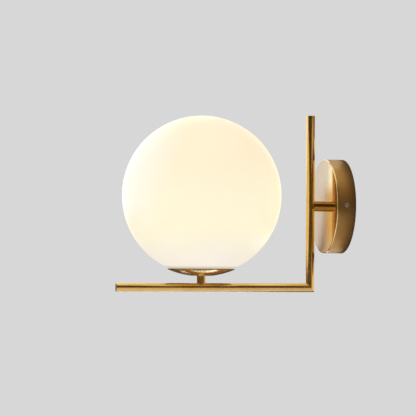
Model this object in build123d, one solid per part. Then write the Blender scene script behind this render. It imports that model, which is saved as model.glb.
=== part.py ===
"""Globe wall sconce: an opal glass ball in a shallow brass dish, on an L-shaped arm of round brass tube.

The arm hangs on a short stub that is clamped to a round wall canopy. The canopy slides over a steel
strap on the wall and is held by two screws in its side. Inside are the nipples, nuts and washers that
clamp the pieces, the wiring from a terminal block to a screw lampholder, and a screw-in bulb.

Frame, in millimetres: the origin is on the wall plane at the canopy's centre. +Z is up and +Y points
into the wall, so the lamp reaches into the room towards -Y. X is across, and the lamp is symmetric
about X = 0 apart from its wiring.
"""
from math import asin, cos, pi, sin, sqrt
import os

from build123d import *

# ---------------------------------------------------------------- clearances
SLIP = 0.05            # radial gap of a screw or nipple in its hole, and of a brazed or curved seat
LOOSE = 0.15           # radial gap of a bolt in a plain hole
MOVE_GAP = 0.3         # gap between a piece that moves and its seat

# ---------------------------------------------------------------- canopy, strap and stub
CANOPY_R = 60.0
CANOPY_DEPTH = 24.0
CANOPY_WALL = 1.2
CANOPY_EDGE_R = 1.0    # rounded front edge of the canopy
CANOPY_INNER_EDGE_R = 0.5
STRAP_T = 1.5          # steel sheet of the wall strap
STRAP_WIDE = 26.0
STRAP_WIDE_HALF_LENGTH = 50.0
STRAP_CORNER_R = 3.0
STRAP_FOLD_R = 2.0
EAR_WIDE = 14.0
EAR_REACH = 17.0       # how far the strap's ears stand out from the wall
EAR_TO_CANOPY = 0.8    # gap between an ear and the canopy's inner wall
CABLE_HOLE_R = 8.0     # hole for the house cable
SLOT_X = 40.0          # wall-screw slots, from the centre
SLOT_R = 2.25
SLOT_LENGTH = 14.0
SIDE_SCREW_Y = -12.0
SIDE_SCREW_R = 2.0
SIDE_HEAD_R = 3.3
SIDE_HEAD_H = 1.7
SIDE_SEAT_DEPTH = 0.4  # flat spot for the screw head in the canopy's round side
SIDE_SCREW_LENGTH = 8.0
STUB_R = 6.5
STUB_LENGTH = 12.0     # from the canopy's face to the upright tube's surface

# ---------------------------------------------------------------- arm
ROD_R = 5.5
ROD_WALL = 1.0
ARM_DROP = 104.0       # from the stub's axis down to the lower tube's axis
UPRIGHT_RISE = 115.5   # from the stub's axis up to the upright tube's end
GLOBE_REACH = 142.0    # from the upright tube's axis out to the globe's axis
ARM_TAIL = 108.0       # from the globe's axis out to the lower tube's end
PLUG_LENGTH = 5.0
PLUG_TAPER = 0.6
TUBE_EDGE = 0.3        # bevel of the tubes' and the stub's cut ends
STEM_LENGTH = 9.3      # bare stem between the lower tube and the dish
SADDLE_LAP = 2.2       # how far a saddle-cut end laps down over the tube that it is brazed to

# ---------------------------------------------------------------- nipples, nuts, washers (M8 x 1 thread)
NIPPLE_R = 4.0
NIPPLE_BORE_R = 2.8
NIPPLE_IN_TUBE = 1.4   # how far a nipple stands into the tube's bore
NUT_FLATS = 13.0
NUT_H = 4.0
NUT_BEVEL = 0.6
WASHER_R = 7.0
WASHER_T = 0.8
THREAD_SHOWS = 1.5     # bare nipple beyond its nut

# ---------------------------------------------------------------- dish, seat ring and spring
DISH_RIM_R = 42.0
DISH_FLAT_R = 14.0
DISH_WALL = 1.2
DISH_CURVE_R = 106.0   # radius of the dish's outer surface
SPRING_T = 0.6
SPRING_WIDE = 10.0
SPRING_ARMS = 3
SPRING_TOP = 21.0      # height of the arms' tips above the dish's underside
SEAT_RING_TAPER = 1.4  # how far the ring stops short of the mouth's outer edge

# ---------------------------------------------------------------- globe
GLOBE_R = 100.0
GLASS_WALL = 2.5
MOUTH_R = 32.0
MOUTH_FLAT = 4.25      # width of the ground edge around the mouth
MOUTH_UP = 7.4         # from the dish's underside to the mouth's edge
MOUTH_ROUND = 0.5      # fire-polished edges

# ---------------------------------------------------------------- lampholder (E27) and its bracket
HOLDER_R = 20.0
HOLDER_H = 42.0
HOLDER_BORE_R = 14.05
HOLDER_FLOOR = 11.0    # solid ceramic under the bore
HOLDER_LIFT = 20.0     # from the dish's underside to the ceramic's underside
HOLDER_EDGE = 1.2
HOLDER_STEP = 1.5      # bevels and the step between the ceramic's foot and its neck
BRACKET_T = 1.5
BRACKET_WIDE = 14.0
BRACKET_FOLD_R = 1.0
BRACKET_LEG_X = 11.5   # outer face of the bracket's legs
BRACKET_FOOT_X = 19.0
HOLDER_SCREW_X = 15.3
HOLDER_SCREW_R = 1.5
HOLDER_SCREW_BITE = 8.0
HOLDER_HEAD_R = 2.8
HOLDER_HEAD_H = 1.8
RIVET_X = 6.5
RIVET_R = 1.25
RIVET_HEAD_R = 2.0
RIVET_HEAD_H = 0.8
RIVET_UP = 5.5         # the rivets' lower ends above the ceramic's underside
CONTACT_T = 0.4
CONTACT_WIDE = 5.0
CONTACT_RISE = 3.0     # height of the centre contact above the bore's floor
SHELL_R = 13.95
SHELL_H = 25.0
SHELL_PLAIN = 3.3      # unthreaded height at the shell's foot
THREAD_PITCH = 3.629   # E27, seven turns to the inch
THREAD_DEPTH = 0.5     # half the height of the rolled thread
THREAD_MEAN_R = 12.65  # of the bulb's cap
THREAD_GAP = 0.2       # between the cap's thread and the shell's

# ---------------------------------------------------------------- bulb
BULB_R = 22.5
PIP_R = 4.7
PIP_H = 1.5
INSULATOR_H = 5.0      # from the pip's underside to the cap's lower rim
CAP_THREAD_H = 17.0
COLLAR_R = 13.1
BULB_ABOVE = 53.0      # from the lampholder's top to the bulb's top
BULB_WALL = 1.2
HOUSING_TOP_BELOW = 10.5  # from the ball's centre down to the joint with the plastic body
HOUSING_WALL = 1.6
BOARD_T = 1.5
CHIP_COUNT = 6         # light sources on the board
CHIP_SIZE = 3.0
CHIP_H = 0.7

# ---------------------------------------------------------------- terminal block, earth and wires
BLOCK_X = 21.0         # centre of the terminal block
BLOCK_LENGTH = 20.0
BLOCK_H = 16.0
BLOCK_DEPTH = 12.5
POLE_PITCH = 10.0
CLAMP_R = 2.5
CLAMP_BORE_R = 1.5
CLAMP_LENGTH = 13.0
CLAMP_AXIS_OUT = 5.5   # from the strap's face to the clamps' axis
CLAMP_SCREW_R = 1.2
CLAMP_SCREW_Z = 3.6
CLAMP_SCREW_SUNK = 1.0  # below the block's front
CLAMP_SCREW_SLOT = 0.5
BLOCK_CORNER_R = 1.0
BLOCK_GROOVE = 2.0
BLOCK_SCREW_R = 1.5
BLOCK_HEAD_R = 2.1
BLOCK_HEAD_H = 1.4
EARTH_X = -20.0
EARTH_SCREW_R = 2.0
EARTH_HEAD_R = 3.6
EARTH_HEAD_H = 2.4
EARTH_WASHER_R = 4.2
EYELET_T = 0.8
EYELET_BARREL_R = 1.7
EYELET_BARREL_LENGTH = 6.0
STRAP_EYELET_R = 3.8
STRAP_BARREL = 5.5     # from the earth screw's axis to the start of the eyelet's barrel
CANOPY_EYELET_R = 6.5
CANOPY_BARREL = 9.0    # from the nipple's axis to the start of the eyelet's barrel
EARTH_LOOP_Z = 24.0    # how high the earth wire's loop rises
EARTH_LOOP_OUT = 5.0   # how far it swings outwards
EARTH_BEND = 6.0
WIRE_R = 1.0
WIRE_X = 1.15          # the two wires run side by side at +-WIRE_X
LEAD_OVER_Z = 17.0     # how high the live lead passes over from the block to the nipple
LEAD_STEP = 5.0        # how much higher the neutral lead passes
LEAD_BEND = 5.0
CORNER_BEND = 10.0     # in the arm's corner
HOLDER_BEND = 3.0      # between the stem and the rivets

# ---------------------------------------------------------------- places worked out from the sizes
CANOPY_FACE_Y = -CANOPY_DEPTH
CANOPY_INNER_R = CANOPY_R - CANOPY_WALL
CANOPY_INNER_Y = CANOPY_FACE_Y + CANOPY_WALL
UPRIGHT_Y = CANOPY_FACE_Y - STUB_LENGTH - ROD_R
GLOBE_Y = UPRIGHT_Y - GLOBE_REACH
ARM_END_Y = GLOBE_Y - ARM_TAIL
ARM_Z = -ARM_DROP
TUBE_BORE_R = ROD_R - ROD_WALL
EAR_X = CANOPY_INNER_R - EAR_TO_CANOPY
DISH_Z = ARM_Z + ROD_R + STEM_LENGTH
DISH_CENTRE_UP = sqrt(DISH_CURVE_R**2 - DISH_FLAT_R**2)   # the dish's centre of curvature above its underside
MOUTH_Z = DISH_Z + MOUTH_UP
MOUTH_EDGE_R = MOUTH_R + MOUTH_FLAT
MOUTH_DROP = sqrt(GLOBE_R**2 - MOUTH_EDGE_R**2)    # from the globe's centre down to the mouth's edge
GLOBE_Z = MOUTH_Z + MOUTH_DROP
SPRING_Z = DISH_Z + DISH_WALL
BRACKET_Z = SPRING_Z + SPRING_T
STACK_Z = BRACKET_Z + BRACKET_T                # where the stem's washer sits
STEM_NIPPLE_TOP = STACK_Z + WASHER_T + NUT_H + THREAD_SHOWS
HOLDER_Z = DISH_Z + HOLDER_LIFT
FLOOR_Z = HOLDER_Z + HOLDER_FLOOR
HOLDER_TOP = HOLDER_Z + HOLDER_H
PIP_Z = FLOOR_Z + CONTACT_RISE + CONTACT_T + 2 * MOVE_GAP
CAP_Z = PIP_Z + INSULATOR_H
COLLAR_Z = CAP_Z + CAP_THREAD_H
HOUSING_Z = HOLDER_TOP + MOVE_GAP
BULB_CENTRE_Z = HOLDER_TOP + BULB_ABOVE - BULB_R
HOUSING_TOP_Z = BULB_CENTRE_Z - HOUSING_TOP_BELOW
CLAMP_Y = -STRAP_T - CLAMP_AXIS_OUT
POLE_X = (BLOCK_X - POLE_PITCH / 2, BLOCK_X + POLE_PITCH / 2)
GLOBE_AXIS = Location((0, GLOBE_Y, 0))


# ---------------------------------------------------------------- helpers
def rod(radius, start, end):
    """A solid cylinder from start to end, two points (x, y, z)."""
    line = Vector(*end) - Vector(*start)
    plane = Plane(origin=start, z_dir=line)
    return plane * extrude(Circle(radius), line.length)


def turned(points):
    """A solid of revolution about Z from a closed outline of (radius, height) points."""
    return turned_curve([Polyline(*points, close=True)])


def turned_curve(edges):
    """A solid of revolution about Z from lines and arcs drawn with the radius across and the height up."""
    return revolve(Plane.XZ * make_face(edges), Axis.Z)


def block(low, high):
    """A box from its lowest to its highest corner."""
    size = [b - a for a, b in zip(low, high)]
    centre = [(a + b) / 2 for a, b in zip(low, high)]
    return Pos(*centre) * Box(*size)


def flat_ring(outer, inner, thickness):
    """A washer lying on Z = 0."""
    return extrude(Circle(outer) - Circle(inner), thickness)


def tooth_washer(teeth=10, notch=0.9, notch_depth=1.6):
    """Shakeproof washer: a flat ring with notches cut into its rim."""
    ring = flat_ring(WASHER_R, NIPPLE_R + SLIP, WASHER_T)
    cut = Pos(WASHER_R, 0, WASHER_T / 2) * Box(2 * notch_depth, notch, 2 * WASHER_T)
    return ring - [Rot(0, 0, 360 / teeth * i) * cut for i in range(teeth)]


def hex_nut():
    """Nut with turned corners, standing on Z = 0."""
    corner_r = NUT_FLATS / 2 / cos(pi / 6)
    body = extrude(RegularPolygon(corner_r, 6), NUT_H)
    dome = turned([
        (0, 0), (NUT_FLATS / 2, 0), (corner_r, NUT_BEVEL),
        (corner_r, NUT_H - NUT_BEVEL), (NUT_FLATS / 2, NUT_H), (0, NUT_H),
    ])
    return (body & dome) - extrude(Circle(NIPPLE_R + SLIP), NUT_H)


def nipple(length):
    """Hollow threaded rod on Z, with bevelled ends."""
    bevel = 0.4
    return turned([
        (NIPPLE_BORE_R, 0), (NIPPLE_R - bevel, 0), (NIPPLE_R, bevel),
        (NIPPLE_R, length - bevel), (NIPPLE_R - bevel, length), (NIPPLE_BORE_R, length),
    ])


def cross_screw(head_r, head_h, shank_r, length):
    """Pan-head screw: the head's seat is Z = 0, the shank runs down -Z, the domed top has a cross recess."""
    rim_h = 0.45 * head_h
    shank_tip = 0.5 * shank_r
    outline = Polyline((0, head_h), (0, -length), (shank_r - shank_tip, -length),
                       (shank_r, -length + shank_tip), (shank_r, 0), (head_r, 0), (head_r, rim_h))
    crown = SagittaArc((head_r, rim_h), (0, head_h), 0.12 * head_r)
    body = turned_curve([outline, crown])
    reach, wide, deep = 1.15 * head_r, 0.28 * head_r, 0.6 * head_h
    slot = Pos(0, 0, head_h) * Box(reach, wide, 2 * deep)
    return body - slot - Rot(0, 0, 90) * slot


def wire(points, bends, radius=WIRE_R):
    """A round wire through the points, its corners rounded by the bend radii, one for each inner point."""
    path = FilletPolyline(*points, radius=bends)
    section = Plane(origin=path @ 0, z_dir=path % 0) * Circle(radius)
    return sweep(section, path)


def strip_face(spine, thickness):
    """The edge-on face of a strip of sheet that lies on a polyline."""
    points = [spine @ 0] + [e @ 1 for e in spine.edges()]
    normals = []
    for a, b in zip(points, points[1:]):
        along = (b - a).normalized()
        normals.append(Vector(-along.Y, along.X))
    upper = [points[0] + normals[0] * thickness]
    for point, before, after in zip(points[1:-1], normals, normals[1:]):
        mean = (before + after).normalized()
        upper.append(point + mean * (thickness / mean.dot(before)))
    upper.append(points[-1] + normals[-1] * thickness)
    return make_face(Polyline(*points, *reversed(upper), close=True))


def mitre_plane():
    """The 45 degree plane in which the arm's two tubes meet; its normal points up and to the wall."""
    return Plane(origin=(0, UPRIGHT_Y, ARM_Z), x_dir=(1, 0, 0), z_dir=(0, 1, 1))


def thread_core(mean_r, low, high):
    """A rod with the rounded lamp thread: a level disc carried up a narrow helix, in step with its mate."""
    helix = Helix(THREAD_PITCH, high - low, THREAD_DEPTH)
    start = Plane(origin=helix @ 0) * Circle(mean_r)
    core = sweep(start, helix, normal=(0, 0, 1))
    return Pos(0, 0, low) * Rot(0, 0, 360 * low / THREAD_PITCH) * core


def dish_height(radius, offset=0.0):
    """Height of the dish's surface above its underside at a radius, offset inwards from the outer surface."""
    return DISH_CENTRE_UP - sqrt((DISH_CURVE_R - offset)**2 - radius**2)


# ---------------------------------------------------------------- wall strap, canopy and stub
def wall_strap():
    """Steel strap on the wall: wide middle, narrow ends folded out into two threaded ears."""
    plate = block((-EAR_X, -STRAP_T, -EAR_WIDE / 2), (EAR_X, 0, EAR_WIDE / 2))
    middle = block((-STRAP_WIDE_HALF_LENGTH, -STRAP_T, -STRAP_WIDE / 2),
                   (STRAP_WIDE_HALF_LENGTH, 0, STRAP_WIDE / 2))
    middle = fillet(middle.edges().filter_by(Axis.Y), STRAP_CORNER_R)
    body = plate + middle
    for side in (-1, 1):
        inner, outer = sorted((side * (EAR_X - STRAP_T), side * EAR_X))
        body += block((inner, -EAR_REACH, -EAR_WIDE / 2), (outer, 0, EAR_WIDE / 2))
    upright_edges = body.edges().filter_by(Axis.Z)
    folds = [e for e in upright_edges if abs(e.center().Y) < 1e-6 and abs(e.center().X) > EAR_X - 1e-3]
    body = fillet(folds, STRAP_FOLD_R)
    tips = [e for e in body.edges().filter_by(Axis.X) if abs(e.center().Y + EAR_REACH) < 1e-6]
    body = fillet(tips, STRAP_CORNER_R)
    holes = [rod(CABLE_HOLE_R, (0, 1, 0), (0, -STRAP_T - 1, 0)),
             rod(BLOCK_SCREW_R + SLIP, (BLOCK_X, 1, 0), (BLOCK_X, -STRAP_T - 1, 0)),
             rod(EARTH_SCREW_R + SLIP, (EARTH_X, 1, 0), (EARTH_X, -STRAP_T - 1, 0)),
             rod(SIDE_SCREW_R + SLIP, (-EAR_X - 1, SIDE_SCREW_Y, 0), (EAR_X + 1, SIDE_SCREW_Y, 0))]
    slot = Plane.XZ * extrude(SlotOverall(SLOT_LENGTH, 2 * SLOT_R), 2 * STRAP_T, both=True)
    return body - holes - [Pos(side * SLOT_X, 0, 0) * slot for side in (-1, 1)]


def canopy_cover():
    """Round drum, open to the wall, with a flat face, a rounded front edge and two side screw seats."""
    body = rod(CANOPY_R, (0, 0, 0), (0, CANOPY_FACE_Y, 0))
    body = fillet(body.edges().sort_by(Axis.Y)[0], CANOPY_EDGE_R)
    hollow = rod(CANOPY_INNER_R, (0, 1, 0), (0, CANOPY_INNER_Y, 0))
    body -= fillet(hollow.edges().sort_by(Axis.Y)[0], CANOPY_INNER_EDGE_R)
    body -= rod(NIPPLE_R + LOOSE, (0, 0, 0), (0, CANOPY_FACE_Y - 1, 0))
    seat_x = CANOPY_R - SIDE_SEAT_DEPTH
    for side in (-1, 1):
        inside = (side * (CANOPY_INNER_R - 1), SIDE_SCREW_Y, 0)
        seat = (side * seat_x, SIDE_SCREW_Y, 0)
        outside = (side * (CANOPY_R + 1), SIDE_SCREW_Y, 0)
        body -= rod(SIDE_SCREW_R + LOOSE, inside, outside)
        body -= rod(SIDE_HEAD_R + LOOSE, seat, outside)
    return body


def canopy_side_screws():
    """The two screws that hold the canopy on the strap's ears."""
    screw = cross_screw(SIDE_HEAD_R, SIDE_HEAD_H, SIDE_SCREW_R, SIDE_SCREW_LENGTH)
    seat_x = CANOPY_R - SIDE_SEAT_DEPTH
    driven = Rot(0, 0, 28)      # where the cross recess came to rest
    seats = [Plane(origin=(side * seat_x, SIDE_SCREW_Y, 0), z_dir=(side, 0, 0)) for side in (-1, 1)]
    return [seat * driven * screw for seat in seats]


def canopy_stub():
    """Short sleeve between canopy and upright tube, saddle-cut to the tube."""
    end_y = UPRIGHT_Y + ROD_R - SADDLE_LAP
    body = rod(STUB_R, (0, CANOPY_FACE_Y, 0), (0, end_y, 0))
    body = chamfer(body.edges().sort_by(Axis.Y)[-1], TUBE_EDGE)
    body -= rod(NIPPLE_R + SLIP, (0, CANOPY_FACE_Y + 1, 0), (0, end_y - 1, 0))
    return body - rod(ROD_R + SLIP, (0, UPRIGHT_Y, -2 * STUB_R), (0, UPRIGHT_Y, 2 * STUB_R))


def canopy_stack():
    """Nipple, washer and nut that clamp stub and canopy; the earth eyelet lies between washer and nut."""
    inner_end = CANOPY_INNER_Y + WASHER_T + EYELET_T + NUT_H + THREAD_SHOWS
    tube_end = UPRIGHT_Y + TUBE_BORE_R - NIPPLE_IN_TUBE
    to_wall = Plane(origin=(0, tube_end, 0), z_dir=(0, 1, 0))
    washer = Plane(origin=(0, CANOPY_INNER_Y, 0), z_dir=(0, 1, 0)) * tooth_washer()
    nut = Plane(origin=(0, CANOPY_INNER_Y + WASHER_T + EYELET_T, 0), z_dir=(0, 1, 0)) * hex_nut()
    return to_wall * nipple(inner_end - tube_end), washer, nut


# ---------------------------------------------------------------- arm
def upright_tube():
    """Upright tube with a mitred foot and a hole for the stub's nipple."""
    foot = ARM_Z - 2 * ROD_R
    axis = ((0, UPRIGHT_Y, foot), (0, UPRIGHT_Y, UPRIGHT_RISE))
    body = rod(ROD_R, *axis)
    body = chamfer(body.edges().sort_by(Axis.Z)[-1], TUBE_EDGE)
    body -= rod(TUBE_BORE_R, *axis)
    body = split(body, bisect_by=mitre_plane(), keep=Keep.TOP)
    return body - rod(NIPPLE_R + SLIP, (0, UPRIGHT_Y, 0), (0, UPRIGHT_Y + 2 * ROD_R, 0))


def lower_tube():
    """Level tube with a mitred inner end and a hole for the stem's nipple."""
    axis = ((0, UPRIGHT_Y + 2 * ROD_R, ARM_Z), (0, ARM_END_Y, ARM_Z))
    body = rod(ROD_R, *axis)
    body = chamfer(body.edges().sort_by(Axis.Y)[0], TUBE_EDGE)
    body -= rod(TUBE_BORE_R, *axis)
    body = split(body, bisect_by=mitre_plane(), keep=Keep.BOTTOM)
    return body - rod(NIPPLE_R + SLIP, (0, GLOBE_Y, ARM_Z), (0, GLOBE_Y, ARM_Z + 2 * ROD_R))


def end_plug():
    """Plug on Z: its outer face is Z = 0 and its body runs down -Z."""
    radius = TUBE_BORE_R - SLIP
    return turned([(0, 0), (radius, 0), (radius, PLUG_TAPER - PLUG_LENGTH),
                   (radius - PLUG_TAPER, -PLUG_LENGTH), (0, -PLUG_LENGTH)])


def stem_sleeve():
    """Short sleeve between the lower tube and the dish, saddle-cut to the tube."""
    foot = ARM_Z + ROD_R - SADDLE_LAP
    body = rod(ROD_R, (0, GLOBE_Y, foot), (0, GLOBE_Y, DISH_Z))
    body -= rod(NIPPLE_R + SLIP, (0, GLOBE_Y, foot), (0, GLOBE_Y, DISH_Z))
    return body - rod(ROD_R + SLIP, (0, GLOBE_Y - 2 * ROD_R, ARM_Z), (0, GLOBE_Y + 2 * ROD_R, ARM_Z))


def stem_stack():
    """Nipple, washer and nut that clamp the dish, spring and lampholder bracket to the lower tube."""
    foot = ARM_Z + TUBE_BORE_R - NIPPLE_IN_TUBE
    return (Pos(0, GLOBE_Y, foot) * nipple(STEM_NIPPLE_TOP - foot),
            Pos(0, GLOBE_Y, STACK_Z) * tooth_washer(),
            Pos(0, GLOBE_Y, STACK_Z + WASHER_T) * hex_nut())


# ---------------------------------------------------------------- dish, ring, spring and globe
def dish():
    """Spun dish: flat in the middle, then part of a ball, with a rounded rim."""
    inner_r = DISH_CURVE_R - DISH_WALL
    lean = asin(DISH_RIM_R / DISH_CURVE_R)           # slope of the wall at the rim
    inner_flat = sqrt(inner_r**2 - (DISH_CENTRE_UP - DISH_WALL)**2)

    def on_curve(radius, angle):
        return (radius * sin(angle), DISH_CENTRE_UP - radius * cos(angle))

    start, end = asin(DISH_FLAT_R / DISH_CURVE_R), asin(inner_flat / inner_r)
    hole = NIPPLE_R + LOOSE
    rim_tip = DISH_CURVE_R - DISH_WALL / 2
    tip_lean = lean + DISH_WALL / 2 / rim_tip
    outer_rim, inner_rim = on_curve(DISH_CURVE_R, lean), on_curve(inner_r, lean)
    edges = [
        Line((hole, 0), (DISH_FLAT_R, 0)),
        ThreePointArc((DISH_FLAT_R, 0), on_curve(DISH_CURVE_R, (start + lean) / 2), outer_rim),
        ThreePointArc(outer_rim, on_curve(rim_tip, tip_lean), inner_rim),
        ThreePointArc(inner_rim, on_curve(inner_r, (end + lean) / 2), (inner_flat, DISH_WALL)),
        Line((inner_flat, DISH_WALL), (hole, DISH_WALL)),
        Line((hole, DISH_WALL), (hole, 0)),
    ]
    return Pos(0, GLOBE_Y, DISH_Z) * turned_curve(edges)


def seat_ring():
    """Soft ring that lies in the dish under the globe's edge: flat on top, following the dish below."""
    top = MOUTH_Z - MOVE_GAP - DISH_Z
    outer = MOUTH_EDGE_R - SEAT_RING_TAPER
    inner = MOUTH_R + MOVE_GAP
    offset = DISH_WALL + SLIP
    middle = (outer + inner) / 2
    edges = [
        Line((inner, top), (outer, top)),
        Line((outer, top), (outer, dish_height(outer, offset))),
        ThreePointArc((outer, dish_height(outer, offset)), (middle, dish_height(middle, offset)),
                      (inner, dish_height(inner, offset))),
        Line((inner, dish_height(inner, offset)), (inner, top)),
    ]
    return Pos(0, GLOBE_Y, DISH_Z) * turned_curve(edges)


def globe_spring():
    """Spring-steel stamping: a disc clamped under the nut, and arms that rise to steady the globe's mouth."""
    half = SPRING_WIDE / 2
    hub_r = DISH_FLAT_R - 0.4
    fold_r = sqrt(hub_r**2 - half**2)                       # where an arm leaves the flat of the dish
    knee_r = MOUTH_R - 4.0                                  # where it turns up towards the mouth
    knee_z = dish_height(sqrt(knee_r**2 + half**2), DISH_WALL) - DISH_WALL + MOVE_GAP
    touch_r = sqrt((MOUTH_R - MOVE_GAP)**2 - half**2)
    touch_z = MOUTH_Z - SPRING_Z + 0.6
    tip_r, tip_z = touch_r - 4.0, SPRING_TOP
    spine = Polyline((fold_r - 2.0, 0), (fold_r, 0), (knee_r, knee_z), (touch_r, touch_z), (tip_r, tip_z))
    arm = extrude(Plane.XZ * strip_face(spine, SPRING_T), half, both=True)
    body = flat_ring(hub_r, NIPPLE_R + LOOSE, SPRING_T)
    for i in range(SPRING_ARMS):
        body += Rot(0, 0, 60 + 360 / SPRING_ARMS * i) * arm
    return Pos(0, GLOBE_Y, SPRING_Z) * body


def globe():
    """Blown opal ball, cut level at the bottom, with a round mouth and softened edges."""
    inner = GLOBE_R - GLASS_WALL
    lip_z = -sqrt(inner**2 - MOUTH_R**2)
    edges = [
        ThreePointArc((0, GLOBE_R), (GLOBE_R, 0), (MOUTH_EDGE_R, -MOUTH_DROP)),
        Line((MOUTH_EDGE_R, -MOUTH_DROP), (MOUTH_R, -MOUTH_DROP)),
        Line((MOUTH_R, -MOUTH_DROP), (MOUTH_R, lip_z)),
        ThreePointArc((MOUTH_R, lip_z), (inner, 0), (0, inner)),
        Line((0, inner), (0, GLOBE_R)),
    ]
    body = turned_curve(edges)
    low_edges = body.edges().filter_by(GeomType.CIRCLE).sort_by(Axis.Z)[:2]
    return Pos(0, GLOBE_Y, GLOBE_Z) * fillet(low_edges, MOUTH_ROUND)


# ---------------------------------------------------------------- lampholder
def lampholder_bracket():
    """Steel bracket: clamped flat under the nut, legs up both sides, feet folded out under the ceramic."""
    half = BRACKET_WIDE / 2
    top = HOLDER_Z
    body = block((-BRACKET_LEG_X, -half, BRACKET_Z), (BRACKET_LEG_X, half, BRACKET_Z + BRACKET_T))
    for side in (-1, 1):
        leg = sorted((side * BRACKET_LEG_X, side * (BRACKET_LEG_X - BRACKET_T)))
        foot = sorted((side * (BRACKET_LEG_X - BRACKET_T), side * BRACKET_FOOT_X))
        body += block((leg[0], -half, BRACKET_Z), (leg[1], half, top))
        body += block((foot[0], -half, top - BRACKET_T), (foot[1], half, top))
    folds = [e for e in body.edges().filter_by(Axis.Y)
             if abs(abs(e.center().X) - BRACKET_LEG_X) < 1e-3 and e.center().Z < BRACKET_Z + 1e-3]
    body = fillet(folds, BRACKET_FOLD_R)
    body -= rod(NIPPLE_R + LOOSE, (0, 0, BRACKET_Z - 1), (0, 0, BRACKET_Z + 2 * BRACKET_T))
    for side in (-1, 1):
        x = side * HOLDER_SCREW_X
        body -= rod(HOLDER_SCREW_R + LOOSE, (x, 0, top - 2 * BRACKET_T), (x, 0, top + 1))
    return GLOBE_AXIS * body


def lampholder_body():
    """Ceramic body: stepped cylinder with the bulb's bore on top and two holes in its floor for the leads."""
    step, neck_r = HOLDER_STEP, HOLDER_R - HOLDER_STEP
    body = turned([(0, HOLDER_Z), (neck_r, HOLDER_Z), (HOLDER_R, HOLDER_Z + step), (HOLDER_R, FLOOR_Z + step),
                   (neck_r, FLOOR_Z + 2 * step), (neck_r, HOLDER_TOP), (0, HOLDER_TOP)])
    body = fillet(body.edges().group_by(Axis.Z)[-1], HOLDER_EDGE)
    body -= rod(HOLDER_BORE_R, (0, 0, FLOOR_Z), (0, 0, HOLDER_TOP + 1))
    blind_end = HOLDER_Z + HOLDER_SCREW_BITE + MOVE_GAP
    for side in (-1, 1):
        body -= rod(RIVET_R + SLIP, (side * RIVET_X, 0, HOLDER_Z - 1), (side * RIVET_X, 0, FLOOR_Z + 1))
        x = side * HOLDER_SCREW_X
        body -= rod(HOLDER_SCREW_R + SLIP, (x, 0, HOLDER_Z - 1), (x, 0, blind_end))
    return GLOBE_AXIS * body


def lampholder_screws():
    """The two screws that hold the ceramic on its bracket, heads down."""
    screw = cross_screw(HOLDER_HEAD_R, HOLDER_HEAD_H, HOLDER_SCREW_R, HOLDER_SCREW_BITE + BRACKET_T)
    return [Plane(origin=(side * HOLDER_SCREW_X, GLOBE_Y, HOLDER_Z - BRACKET_T), z_dir=(0, 0, -1)) * screw
            for side in (-1, 1)]


def contact_rivets():
    """Two rivets through the ceramic's floor: they hold the contacts and meet the leads."""
    seat = FLOOR_Z + CONTACT_T
    foot = HOLDER_Z + RIVET_UP
    body = turned([(0, foot), (RIVET_R, foot), (RIVET_R, seat), (RIVET_HEAD_R, seat),
                   (RIVET_R, seat + RIVET_HEAD_H), (0, seat + RIVET_HEAD_H)])
    return [Pos(side * RIVET_X, GLOBE_Y, 0) * body for side in (-1, 1)]


def centre_contact():
    """Springy strip from one rivet up to the middle of the bore, where the bulb's pip presses on it."""
    half = CONTACT_WIDE / 2
    foot_start, foot_end = -RIVET_X - half, -RIVET_X + half
    tip_start, tip_end = -half / 2, half / 2
    spine = Polyline((foot_start, 0), (foot_end, 0), (tip_start, CONTACT_RISE), (tip_end, CONTACT_RISE))
    body = Pos(0, 0, FLOOR_Z) * extrude(Plane.XZ * strip_face(spine, CONTACT_T), half, both=True)
    return GLOBE_AXIS * (body - rod(RIVET_R + SLIP, (-RIVET_X, 0, FLOOR_Z - 1), (-RIVET_X, 0, FLOOR_Z + 1)))


def screw_shell():
    """Threaded liner of the bore, with a tab folded in along the floor to the other rivet."""
    plain = SHELL_PLAIN
    body = rod(SHELL_R, (0, 0, FLOOR_Z), (0, 0, FLOOR_Z + SHELL_H))
    body -= thread_core(THREAD_MEAN_R + THREAD_GAP, FLOOR_Z + plain - 0.5, FLOOR_Z + SHELL_H + 1)
    plain_r = SHELL_R - CONTACT_T
    body -= rod(plain_r, (0, 0, FLOOR_Z), (0, 0, FLOOR_Z + plain))
    half = CONTACT_WIDE / 2
    tab = block((RIVET_X - half, -half, FLOOR_Z), (plain_r + CONTACT_T / 2, half, FLOOR_Z + CONTACT_T))
    tab -= rod(RIVET_R + SLIP, (RIVET_X, 0, FLOOR_Z - 1), (RIVET_X, 0, FLOOR_Z + 1))
    return GLOBE_AXIS * (body + tab)


# ---------------------------------------------------------------- bulb
def bulb_contact():
    """Solder pip under the bulb."""
    dome = 0.4 * PIP_H
    edges = [
        Line((0, PIP_Z + PIP_H), (0, PIP_Z)),
        SagittaArc((0, PIP_Z), (PIP_R, PIP_Z + dome), -dome / 4),
        Line((PIP_R, PIP_Z + dome), (PIP_R, PIP_Z + PIP_H)),
        Line((PIP_R, PIP_Z + PIP_H), (0, PIP_Z + PIP_H)),
    ]
    return GLOBE_AXIS * turned_curve(edges)


def bulb_insulator():
    """Black glass cone between pip and cap."""
    top_r = THREAD_MEAN_R - THREAD_DEPTH - 1.0
    return GLOBE_AXIS * turned([(0, PIP_Z + PIP_H), (PIP_R + 1.0, PIP_Z + PIP_H), (top_r, CAP_Z), (0, CAP_Z)])


def bulb_cap():
    """Screw cap with the rolled thread, and a plain collar under the plastic body."""
    core = thread_core(THREAD_MEAN_R, CAP_Z, COLLAR_Z)
    core += rod(COLLAR_R, (0, 0, COLLAR_Z), (0, 0, HOUSING_Z))
    return GLOBE_AXIS * core


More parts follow.
